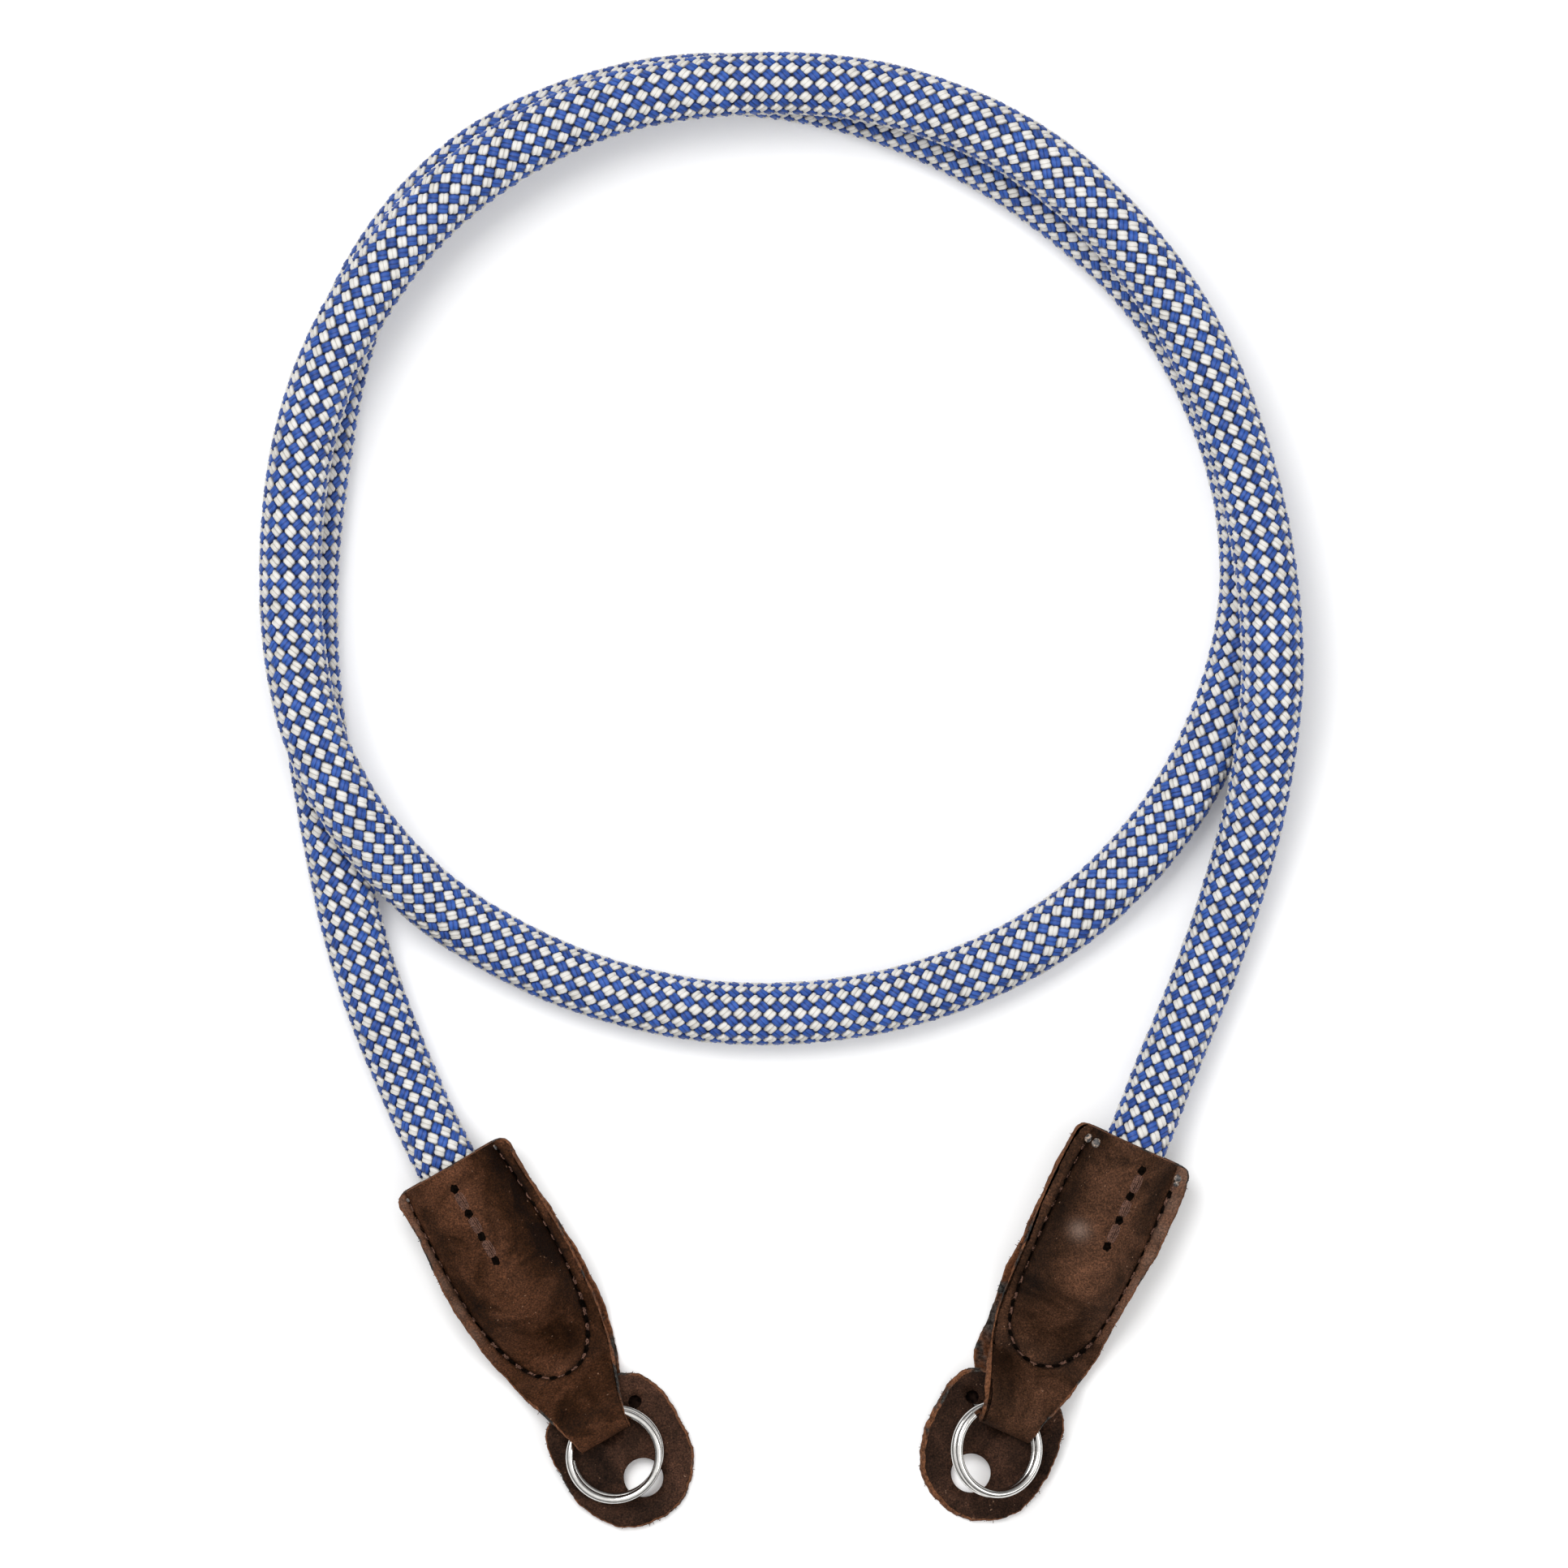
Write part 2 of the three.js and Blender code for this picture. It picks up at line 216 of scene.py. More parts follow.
def yarn_material(name, dark, middle, light, roughness):
    """Glossy multifilament yarn of two plies, with painted shade at the pick's ends, in the groove between
    plies and at its sides.
    """
    material, tree, shader = new_material(name)
    link = tree.links.new
    uv = node(tree, "ShaderNodeUVMap", uv_map="pick")
    stretch = node(tree, "ShaderNodeMapping", Scale=(1.1, 9.0, 1.0))
    link(uv.outputs["UV"], stretch.inputs["Vector"])
    spread = node(tree, "ShaderNodeVectorMath", operation="ADD")
    tone = node(tree, "ShaderNodeAttribute", attribute_name="tone")
    link(stretch.outputs["Vector"], spread.inputs[0])
    apart = node(tree, "ShaderNodeMath", operation="MULTIPLY")
    apart.inputs[1].default_value = 90.0
    link(tone.outputs["Fac"], apart.inputs[0])
    link(apart.outputs["Value"], spread.inputs[1])
    filaments = node(tree, "ShaderNodeTexNoise", Scale=1.0, Detail=3.0, Roughness=0.65)
    link(spread.outputs["Vector"], filaments.inputs["Vector"])
    split = node(tree, "ShaderNodeSeparateXYZ")
    link(uv.outputs["UV"], split.inputs["Vector"])
    # Painted shade: darker towards the pick's ends, where the yarn dives under the crossing one, and in the
    # groove between its two plies and along its sides.
    ends = ramp(tree, split.outputs["X"], (0.0, (0, 0, 0)), (0.2, (0.8,) * 3), (0.5, (1, 1, 1)),
                (0.8, (0.8,) * 3), (1.0, (0, 0, 0)))
    plies = ramp(tree, split.outputs["Y"], (0.08, (0.5,) * 3), (0.25, (1, 1, 1)), (0.43, (0.9,) * 3),
                 (0.5, (0.35,) * 3), (0.57, (0.9,) * 3), (0.75, (1, 1, 1)), (0.92, (0.5,) * 3))
    lit = node(tree, "ShaderNodeMath", operation="MULTIPLY")
    link(ends, lit.inputs[0])
    link(plies, lit.inputs[1])
    both = node(tree, "ShaderNodeMath", operation="MULTIPLY_ADD")
    both.inputs[1].default_value = 0.8
    link(filaments.outputs["Fac"], both.inputs[0])
    link(tone.outputs["Fac"], both.inputs[2])
    depth = node(tree, "ShaderNodeMath", operation="MULTIPLY")
    link(both.outputs["Value"], depth.inputs[0])
    link(lit.outputs["Value"], depth.inputs[1])
    link(ramp(tree, depth.outputs["Value"], (0.06, dark), (0.36, middle), (0.75, light)),
         shader.inputs["Base Color"])
    bump = node(tree, "ShaderNodeBump", Strength=0.7, Distance=0.00014)
    link(filaments.outputs["Fac"], bump.inputs["Height"])
    link(bump.outputs["Normal"], shader.inputs["Normal"])
    shader.inputs["Roughness"].default_value = roughness
    shader.inputs["Sheen Weight"].default_value = 0.05
    shader.inputs["Specular IOR Level"].default_value = 0.3
    return material


white_yarn = yarn_material("white_yarn", (0.3, 0.28, 0.26), (0.67, 0.65, 0.61), (0.8, 0.79, 0.77), 0.6)
blue_yarn = yarn_material("blue_yarn", (0.002, 0.007, 0.045), (0.018, 0.062, 0.28), (0.045, 0.135, 0.5), 0.45)
# The core's near-black navy is painted shade: it shows in the gaps between the picks, where shade falls.
core_painted_shade, _ = grained_material(
    "core_painted_shade", 900.0, 2.0, (0.3, (0.003, 0.006, 0.03)), (0.7, (0.006, 0.014, 0.07)), Roughness=0.8)


def braid(name, lean, start, turned, material, seed):
    """The picks of one colour of yarn, made straight, then laid on the route."""
    lean_angle = lean * math.atan2(2 * math.pi * ROPE_RADIUS / YARNS, PICK_PITCH)
    bm = bmesh.new()
    uv = bm.loops.layers.uv.new("pick")
    bmesh.ops.create_grid(bm, x_segments=3, y_segments=4, size=0.5, calc_uvs=True)
    rim = [edge for edge in bm.edges if edge.is_boundary]
    bmesh.ops.holes_fill(bm, edges=rim, sides=0)
    for face in bm.faces:
        for loop in face.loops:
            loop[uv].uv = (loop.vert.co.x + 0.5, loop.vert.co.y + 0.5)
    for vert in bm.verts:
        p, q = vert.co.x, vert.co.y
        at_end = abs(p) > 0.4
        at_side = abs(q) > 0.4
        p *= 1.0 if at_end else 1.45
        q *= 1.0 if at_side else 1.12
        drop = END_SINK if at_end else 0.0
        if at_side:
            drop = max(drop, SIDE_SINK)
        elif abs(q) < 0.1:
            drop += PLY_GROOVE
        width = PICK_WIDTH * (END_TAPER if at_end else 1.0)
        a, b = p * PICK_LENGTH, q * width
        x = a * math.cos(lean_angle) - b * math.sin(lean_angle)
        y = a * math.sin(lean_angle) + b * math.cos(lean_angle)
        radius = ROPE_RADIUS - drop
        turn = y / ROPE_RADIUS + turned
        vert.co = (x + start, radius * math.sin(turn), radius * math.cos(turn))
    bmesh.ops.recalc_face_normals(bm, faces=bm.faces)
    in_pick = len(bm.verts)
    whole = bm.verts[:] + bm.edges[:] + bm.faces[:]
    bmesh.ops.spin(
        bm, geom=whole, cent=(0, 0, 0), axis=(1, 0, 0), dvec=(0, 0, 0),
        angle=2 * math.pi * (YARNS - 1) / YARNS, steps=YARNS - 1, use_duplicate=True,
    )
    rows = int((ROPE_LENGTH - 2 * MM) / PICK_PITCH)
    whole = bm.verts[:] + bm.edges[:] + bm.faces[:]
    bmesh.ops.spin(
        bm, geom=whole, cent=(0, 0, 0), axis=(1, 0, 0), dvec=(PICK_PITCH, 0, 0),
        angle=0, steps=rows - 1, use_duplicate=True,
    )
    piece = add_piece(name, bm, [material])
    mesh = piece.data
    straight = np.empty(len(mesh.vertices) * 3)
    mesh.vertices.foreach_get("co", straight)
    straight = straight.reshape(-1, 3)
    picks = len(straight) // in_pick
    rng = np.random.default_rng(seed)
    shift = np.repeat(rng.normal(0, PICK_JITTER, (picks, 3)), in_pick, axis=0)
    mesh.vertices.foreach_set("co", lay_on_route(straight + shift).ravel())
    tone = mesh.attributes.new("tone", "FLOAT", "POINT")
    tone.data.foreach_set("value", np.repeat(rng.uniform(0.0, TONE_RANGE, picks), in_pick))
    mesh.update()
    return piece


FIRST_PICK = 1.5 * MM
white_picks = braid("white_picks", -1, FIRST_PICK, 0, white_yarn, 11)
blue_picks = braid("blue_picks", 1, FIRST_PICK + PICK_PITCH / 2, math.pi / YARNS, blue_yarn, 12)
core_line = point_on(route, route_runs, np.linspace(0, ROPE_LENGTH, 480))
rope_core = round_line("rope_core", [core_line], CORE_RADIUS, 5, core_painted_shade)

for piece in (rope_core, white_picks, blue_picks):
    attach(piece, "root")
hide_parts("rope")

# Leather ends. Each is one strip of oiled brown leather, folded at the ring and sewn round the rope's
# end, its cut edges left raw. The lower layer shows past the upper one on the side facing the other end.
LEATHER = 1.4
SEAM_GAP = 0.3
END_LENGTH = 50.3
END_WIDTH = 21.2
POCKET_DEPTH = 21.5
DOME_END = 36.5
SEAM_END = END_LENGTH - 11.9
EDGE_MARGIN = 2.1
DOME_FULLNESS = 0.95
FULL_BULGE = (10 - SEAM_GAP) / 2 + 0.5
CLEAR = 0.3
GUARD = 1.6
SLIT_ALONG = END_LENGTH - 2.2
GUARD_LANDS_AT = END_LENGTH + 10.1
LANDING_BLEND = 2
GUARD_NEAR_EDGE = END_LENGTH - 8.5
GUARD_SLOPE = (LEATHER + CLEAR) / (GUARD_LANDS_AT - SLIT_ALONG)
RING_WIRE = 1.3
RING_RADIUS = (15.5 - RING_WIRE) / 2
RING_ALONG = END_LENGTH + 2.7
TURN_GAP = 0.08
RING_HEIGHT = 2 * RING_WIRE + TURN_GAP
RING_SEAT = CLEAR + GUARD_SLOPE * LANDING_BLEND / 2
LOOP_SLACK = 0.6
CORNER = 1.9
FOLD_RISES_FROM = 2.8
FOLD_RISES_OVER = 3.8
FOLD_RISE = 0.75
FOLD_RISE_SLOPE = 0.5
FOLD_RISE_SOFTNESS = 0.4
MOUTH_SLANT = 0.25
MOUTH_SLANT_FADE = 1.2
STRIP_SLANT = 0.6
EDGE_SWELL = 0.16
EDGE_ROUNDING = 0.1
SEAM_GROOVE = 0.3
SHARES_ALONG = [0, 0.1, 0.2, 0.35, 0.5, 0.62, 0.74, 0.86, 0.94, 1]
SHARES_HALF = [0.92, 0.955, 0.98, 1, 0.97, 0.9, 0.775, 0.59, 0.46, 0.4]
STRIP_STEPS = 190
STRIP_WIDTH_STEPS = 64

ENDS = [
    {"side": "left", "mouth": ROUTE[1], "tip": ROUTE[0], "inner": 1, "skew": 0.8, "wire_end": 180,
     "splay": (0.1, -0.45), "slant": 0.35, "lean": None, "ring_at": (RING_ALONG, 4.42), "fold_paleness": 1.2},
    {"side": "right", "mouth": ROUTE[-2], "tip": ROUTE[-1], "inner": -1, "skew": 2.3, "wire_end": 117,
     "splay": (0, 0), "slant": 0.9, "lean": 26, "ring_at": (RING_ALONG + 0.2, 7.6), "fold_paleness": 0.1},
]

width_line = smooth_line(np.stack([SHARES_ALONG, SHARES_HALF], axis=1))


def half_width(along):
    """Half the strip's width, with the mouth's corners rounded."""
    share = np.clip(along / END_LENGTH, 0, 1)
    half = np.interp(share, width_line[:, 0], width_line[:, 1]) * END_WIDTH / 2
    short = np.clip(CORNER - along, 0, CORNER)
    return half - CORNER + np.sqrt(CORNER ** 2 - short ** 2)


def hump(along, middle, spread):
    """A smooth hump of height one."""
    return np.exp(-((along - middle) / spread) ** 2)


def side_trim(end, along, across):
    """How much wider than the even outline each side of the strip is cut, or narrower below nought."""
    inner = across * end["inner"] > 0
    if end["side"] == "left":
        return np.where(inner, 0.6 * hump(along, 0, 3), -0.55 * hump(along, 8, 6))
    return np.where(inner, -0.7 * hump(along, 22, 8), -1.3 * hump(along, 25, 10))


def skew_of(end, along):
    """How far the lower layer shows past the upper one, most on the right end just before its guard."""
    if end["side"] == "left":
        return end["skew"] * np.sin(np.pi * (along / END_LENGTH) ** 1.5) ** 2
    return end["skew"] * hump(along, 41, 5) + 0.85 * hump(along, 27, 8)


def seam_half(along, end):
    """Where the bulge round the rope starts, not rounded at the mouth."""
    share = np.clip(along / END_LENGTH, 0, 1)
    even = np.interp(share, width_line[:, 0], width_line[:, 1]) * END_WIDTH / 2 - EDGE_MARGIN
    return even - (0.7 if end["side"] == "right" else 0)


def guard_rest(along):
    """Height of the guard's lower face, which slopes from the fold down to the table."""
    before = GUARD_LANDS_AT - np.asarray(along, float)
    sloped = before * GUARD_SLOPE
    blend = GUARD_SLOPE * (before + LANDING_BLEND) ** 2 / (4 * LANDING_BLEND)
    return np.where(before <= -LANDING_BLEND, 0, np.where(before >= LANDING_BLEND, sloped, blend))


def fold_line():
    """The folded strip's middle line seen from the side, as along and height."""
    low = LEATHER / 2
    upper = low + LEATHER + SEAM_GAP
    slit = float(guard_rest(SLIT_ALONG)) + GUARD / 2
    near_wire = RING_ALONG - RING_RADIUS
    ring_top = float(guard_rest(near_wire)) + GUARD + RING_SEAT + RING_HEIGHT
    over_ring = ring_top + LOOP_SLACK + LEATHER / 2
    bend = END_LENGTH - LEATHER / 2
    over_guard = float(guard_rest(GUARD_NEAR_EDGE)) + GUARD + CLEAR + LEATHER / 2
    stops = [
        (0, low),
        (POCKET_DEPTH, low),
        (SEAM_END, low),
        (SLIT_ALONG - 1.4 * LEATHER, low),
        (SLIT_ALONG - 0.4 * LEATHER, low + 0.4 * LEATHER),
        (SLIT_ALONG, slit),
        (bend - 0.1 * LEATHER, slit + LEATHER),
        (bend, over_ring - 1.7 * LEATHER),
        (bend - 0.5 * LEATHER, over_ring - 0.5 * LEATHER),
        (near_wire, over_ring),
        (GUARD_NEAR_EDGE + LEATHER, over_guard + 0.8 * LEATHER),
        (GUARD_NEAR_EDGE - 0.5 * LEATHER, over_guard - 0.3 * LEATHER),
        (SEAM_END, upper + 0.2 * LEATHER),
        (SEAM_END - LEATHER, upper),
        (POCKET_DEPTH, upper),
        (0, upper),
    ]
    return smooth_line(stops, 60)


fold = fold_line()
fold_runs = run_lengths(fold)
turn_back = int(np.argmax(fold[:, 0]))


def strip_middle(share, across, end):
    """Middle of the leather's thickness, at a share of the strip's length and millimetres across."""
    at = point_on(fold, fold_runs, np.clip(share, 0, 1) * fold_runs[-1])
    along = at[:, 0]
    lower = share < 0.5
    inside = np.clip(1 - (across / seam_half(along, end)) ** 2, 0, 1)
    fade = np.clip((along - POCKET_DEPTH) / (DOME_END - POCKET_DEPTH), 0, 1)
    crown = FULL_BULGE * (1 - fade * fade * (3 - 2 * fade))
    full = inside ** DOME_FULLNESS
    lift = np.where(lower, crown * (1 - full), crown * (1 + full))
    drift = np.where(lower, end["inner"] * (1 - full) * skew_of(end, along), 0)
    height = np.maximum(at[:, 1], LEATHER / 2) + lift
    if end["lean"]:
        raised = np.clip((at[:, 1] - FOLD_RISES_FROM) / FOLD_RISES_OVER, 0, 1)
        rise = FOLD_RISE + FOLD_RISE_SLOPE * end["inner"] * across
        rise = (rise + np.sqrt(rise ** 2 + FOLD_RISE_SOFTNESS)) / 2
        height += raised * raised * (3 - 2 * raised) * rise
    return np.stack([along, across + drift, height], axis=1)


def strip_point(share, across, out, end):
    """A point in the leather; out runs from -0.5 on its upper skin to 0.5 on the flesh side."""
    nudge, aside = 1e-3, 0.01
    start, stop = np.clip(share - nudge, 0, 1), np.clip(share + nudge, 0, 1)
    forward = strip_middle(stop, across, end) - strip_middle(start, across, end)
    wide = strip_middle(share, across + aside, end) - strip_middle(share, across - aside, end)
    normal = unit(np.cross(forward, wide))
    return strip_middle(share, across, end) + normal * (out * LEATHER)[:, None]


def placed(end, local):
    """From millimetres along and across an end to its place in the frame."""
    mouth, tip = end["mouth"], end["tip"]
    heading = math.atan2(tip[1] - mouth[1], tip[0] - mouth[0])
    local = np.asarray(local) * MM
    c, s = math.cos(heading), math.sin(heading)
    return np.stack([
        mouth[0] + local[:, 0] * c - local[:, 1] * s,
        mouth[1] + local[:, 0] * s + local[:, 1] * c,
        local[:, 2],
    ], axis=1)


def leather_material(name, dark, middle, light, offset):
    """Oiled pull-up leather: cloudy patches, fine nap and tiny pale specks, with painted shade and painted
    highlight from one point attribute and greyer patches from another.
    """
    material, tree, shader = new_material(name)
    link = tree.links.new
    place = node(tree, "ShaderNodeTexCoord")
    moved = node(tree, "ShaderNodeMapping", Location=offset)
    link(place.outputs["Object"], moved.inputs["Vector"])
    clouds = node(tree, "ShaderNodeTexNoise", Scale=110.0, Detail=5.0, Roughness=0.62, Distortion=0.8)
    mottle = node(tree, "ShaderNodeTexNoise", Scale=700.0, Detail=6.0, Roughness=0.75)
    grain = node(tree, "ShaderNodeTexNoise", Scale=3600.0, Detail=5.0, Roughness=0.7)
    specks = node(tree, "ShaderNodeTexNoise", Scale=1500.0, Detail=2.0, Roughness=0.5)
    for texture in (clouds, mottle, grain, specks):
        link(moved.outputs["Vector"], texture.inputs["Vector"])
    patches = node(tree, "ShaderNodeMath", operation="MULTIPLY_ADD")
    patches.inputs[1].default_value = 1.1
    patches.inputs[2].default_value = -0.22
    link(clouds.outputs["Fac"], patches.inputs[0])
    mixed = node(tree, "ShaderNodeMath", operation="MULTIPLY_ADD")
    mixed.inputs[1].default_value = 0.36
    link(mottle.outputs["Fac"], mixed.inputs[0])
    link(patches.outputs["Value"], mixed.inputs[2])
    # Painted shade and painted highlight, kept in a point attribute, move the colour along the ramp.
    painted_shading = node(tree, "ShaderNodeAttribute", attribute_name="painted_shading")
    shaded_patches = node(tree, "ShaderNodeMath", operation="MULTIPLY_ADD")
    shaded_patches.inputs[1].default_value = 0.26
    link(painted_shading.outputs["Fac"], shaded_patches.inputs[0])
    link(mixed.outputs["Value"], shaded_patches.inputs[2])
    base = ramp(tree, shaded_patches.outputs["Value"], (0.26, dark), (0.5, middle), (0.82, light))
    speck = ramp(tree, grain.outputs["Fac"],
                 (0.36, (0.35,) * 3), (0.51, (1, 1, 1)), (0.68, (2.2, 2.05, 1.9)))
    tinted = node(tree, "ShaderNodeMix", data_type="RGBA", blend_type="MULTIPLY")
    tinted.inputs["Factor"].default_value = 0.95
    link(base, tinted.inputs["A"])
    link(speck, tinted.inputs["B"])
    pale = node(tree, "ShaderNodeMix", data_type="RGBA")
    pale.inputs["B"].default_value = (0.34, 0.2, 0.13, 1)
    link(tinted.outputs["Result"], pale.inputs["A"])
    few = node(tree, "ShaderNodeMapRange")
    few.inputs["From Min"].default_value = 0.72
    few.inputs["From Max"].default_value = 0.78
    few.inputs["To Max"].default_value = 0.7
    link(specks.outputs["Fac"], few.inputs["Value"])
    link(few.outputs["Result"], pale.inputs["Factor"])
    # Greyer patches from a point attribute: the outer margin, and on the right end a painted highlight on the
    # dome.
    greying = node(tree, "ShaderNodeAttribute", attribute_name="greying")
    grey_in_grain = node(tree, "ShaderNodeMath", operation="MULTIPLY")
    link(greying.outputs["Fac"], grey_in_grain.inputs[0])
    link(grain.outputs["Fac"], grey_in_grain.inputs[1])
    greyed = node(tree, "ShaderNodeMix", data_type="RGBA")
    greyed.inputs["B"].default_value = (0.3, 0.22, 0.18, 1)
    link(pale.outputs["Result"], greyed.inputs["A"])
    link(grey_in_grain.outputs["Value"], greyed.inputs["Factor"])
    link(greyed.outputs["Result"], shader.inputs["Base Color"])
    rough = node(tree, "ShaderNodeMapRange")
    rough.inputs["To Min"].default_value = 0.5
    rough.inputs["To Max"].default_value = 0.78
    link(mottle.outputs["Fac"], rough.inputs["Value"])
    link(rough.outputs["Result"], shader.inputs["Roughness"])
    fine = node(tree, "ShaderNodeBump", Strength=0.7, Distance=0.00008)
    link(grain.outputs["Fac"], fine.inputs["Height"])
    coarse = node(tree, "ShaderNodeBump", Strength=0.5, Distance=0.00025)
    link(mottle.outputs["Fac"], coarse.inputs["Height"])
    link(fine.outputs["Normal"], coarse.inputs["Normal"])
    link(coarse.outputs["Normal"], shader.inputs["Normal"])
    shader.inputs["Specular IOR Level"].default_value = 0.05
    return material


def edge_material(name, dark, light):
    """Raw cut edge of leather: loose orange-brown fibres with dark patches of edge dye."""
    material, tree, shader = new_material(name)
    link = tree.links.new
    place = node(tree, "ShaderNodeTexCoord")
    fibres = node(tree, "ShaderNodeTexNoise", Scale=1900.0, Detail=6.0, Roughness=0.75)
    dye = node(tree, "ShaderNodeTexNoise", Scale=230.0, Detail=3.0)
    for texture in (fibres, dye):
        link(place.outputs["Object"], texture.inputs["Vector"])
    colour = ramp(tree, fibres.outputs["Fac"], (0.34, dark), (0.7, light))
    dyed = node(tree, "ShaderNodeMix", data_type="RGBA")
    link(colour, dyed.inputs["A"])
    link(ramp(tree, fibres.outputs["Fac"], (0.42, (0.009, 0.008, 0.007)), (0.72, (0.11, 0.1, 0.09))),
         dyed.inputs["B"])
    amount = node(tree, "ShaderNodeMapRange")
    amount.inputs["From Min"].default_value = 0.52
    amount.inputs["From Max"].default_value = 0.62
    link(dye.outputs["Fac"], amount.inputs["Value"])
    stain = node(tree, "ShaderNodeAttribute", attribute_name="dye")
    either = node(tree, "ShaderNodeMath", operation="MAXIMUM")
    link(amount.outputs["Result"], either.inputs[0])
    link(stain.outputs["Fac"], either.inputs[1])
    link(either.outputs["Value"], dyed.inputs["Factor"])
    link(dyed.outputs["Result"], shader.inputs["Base Color"])
    bump = node(tree, "ShaderNodeBump", Strength=0.9, Distance=0.0002)
    link(fibres.outputs["Fac"], bump.inputs["Height"])
    link(bump.outputs["Normal"], shader.inputs["Normal"])
    shader.inputs["Roughness"].default_value = 0.85
    shader.inputs["Specular IOR Level"].default_value = 0.08
    return material


LEATHERS = {
    "left": leather_material(
        "left_leather", (0.008, 0.003, 0.0012), (0.027, 0.0102, 0.0038), (0.092, 0.037, 0.0185), (0, 0, 0)),
    "right": leather_material(
        "right_leather", (0.01, 0.0045, 0.0022), (0.034, 0.0153, 0.0078), (0.1, 0.045, 0.025), (0.3, 0.1, 0)),
}
raw_edge = edge_material("raw_edge", (0.03, 0.012, 0.006), (0.32, 0.13, 0.06))
flesh = edge_material("flesh", (0.012, 0.005, 0.003), (0.17, 0.062, 0.026))
SEAM_ROWS = {
    "left": [
        (1.6, 8.0), (6, 8.35), (13, 8.6), (21, 8.5), (28, 7.5), (33, 6.2), (36.2, 4.4), (37.9, 2.2),
        (38.4, 0), (37.9, -2.2), (36.2, -4.4), (33, -6.2), (28, -7.5), (21, -8.5), (13, -8.6),
        (6, -8.35), (1.6, -8.0),
    ],
    "right": [
        (2.4, 7.0), (6, 7.45), (13, 7.7), (21, 7.7), (28, 7.5), (32, 7.0), (35.2, 5.8), (37.6, 3.6),
        (38.8, 1.0), (38.6, -1.2), (37.2, -3.4), (35, -5), (31.5, -6.5), (28, -7.1), (21, -7.6),
        (13, -7.9), (2.4, -8.1),
    ],
}
seam_lines = {side: smooth_line(rows, 20) for side, rows in SEAM_ROWS.items()}


def seam_distance(along, inward, end):
    """Distance from the line of stitches, in millimetres."""
    line = seam_lines[end["side"]]
    return np.hypot(along[:, None] - line[None, :, 0], inward[:, None] - line[None, :, 1]).min(axis=1)


def painted_shading_of(along, inward, end):
    """Painted light on the upper skin: painted highlight on the crown, painted shade on the dome's slopes,
    along the seam and towards the inner side; paler towards the fold and on the margin outside the seam.
    """
    part = np.abs(inward) / seam_half(along, end)
    dome = 1 - np.clip((along - 24) / 12, 0, 1)
    patchy = 0.6 + 0.4 * np.sin(along * 0.42 + 1.3 * np.sin(inward * 0.35))
    slope = np.exp(-((part - 0.8) / 0.16) ** 2) * dome * patchy
    crown = np.exp(-(part / 0.5) ** 2) * (0.4 + 0.6 * dome)
    tip = np.clip((along - 45.5) / 4, 0, 1)
    seam = np.exp(-(seam_distance(along, inward, end) / 0.42) ** 2)
    margin = np.clip((part - 1.04) / 0.1, 0, 1) * np.clip((36 - along) / 8, 0, 1)
    shaded = np.clip(inward / 8, -1, 1) * dome
    return 0.6 * crown + end["fold_paleness"] * tip - 0.75 * slope - 1.3 * seam + 0.45 * margin - 0.45 * shaded


def ragged(along, seed):
    """How far a hand-cut edge strays from its line, in millimetres."""
    rng = np.random.default_rng(seed)
    stray = np.zeros_like(along)
    for wave, size in ((9.0, 0.09), (3.7, 0.06), (1.3, 0.05), (0.6, 0.04)):
        stray += size * np.sin(2 * np.pi * along / wave + rng.uniform(0, 2 * np.pi))
    return stray


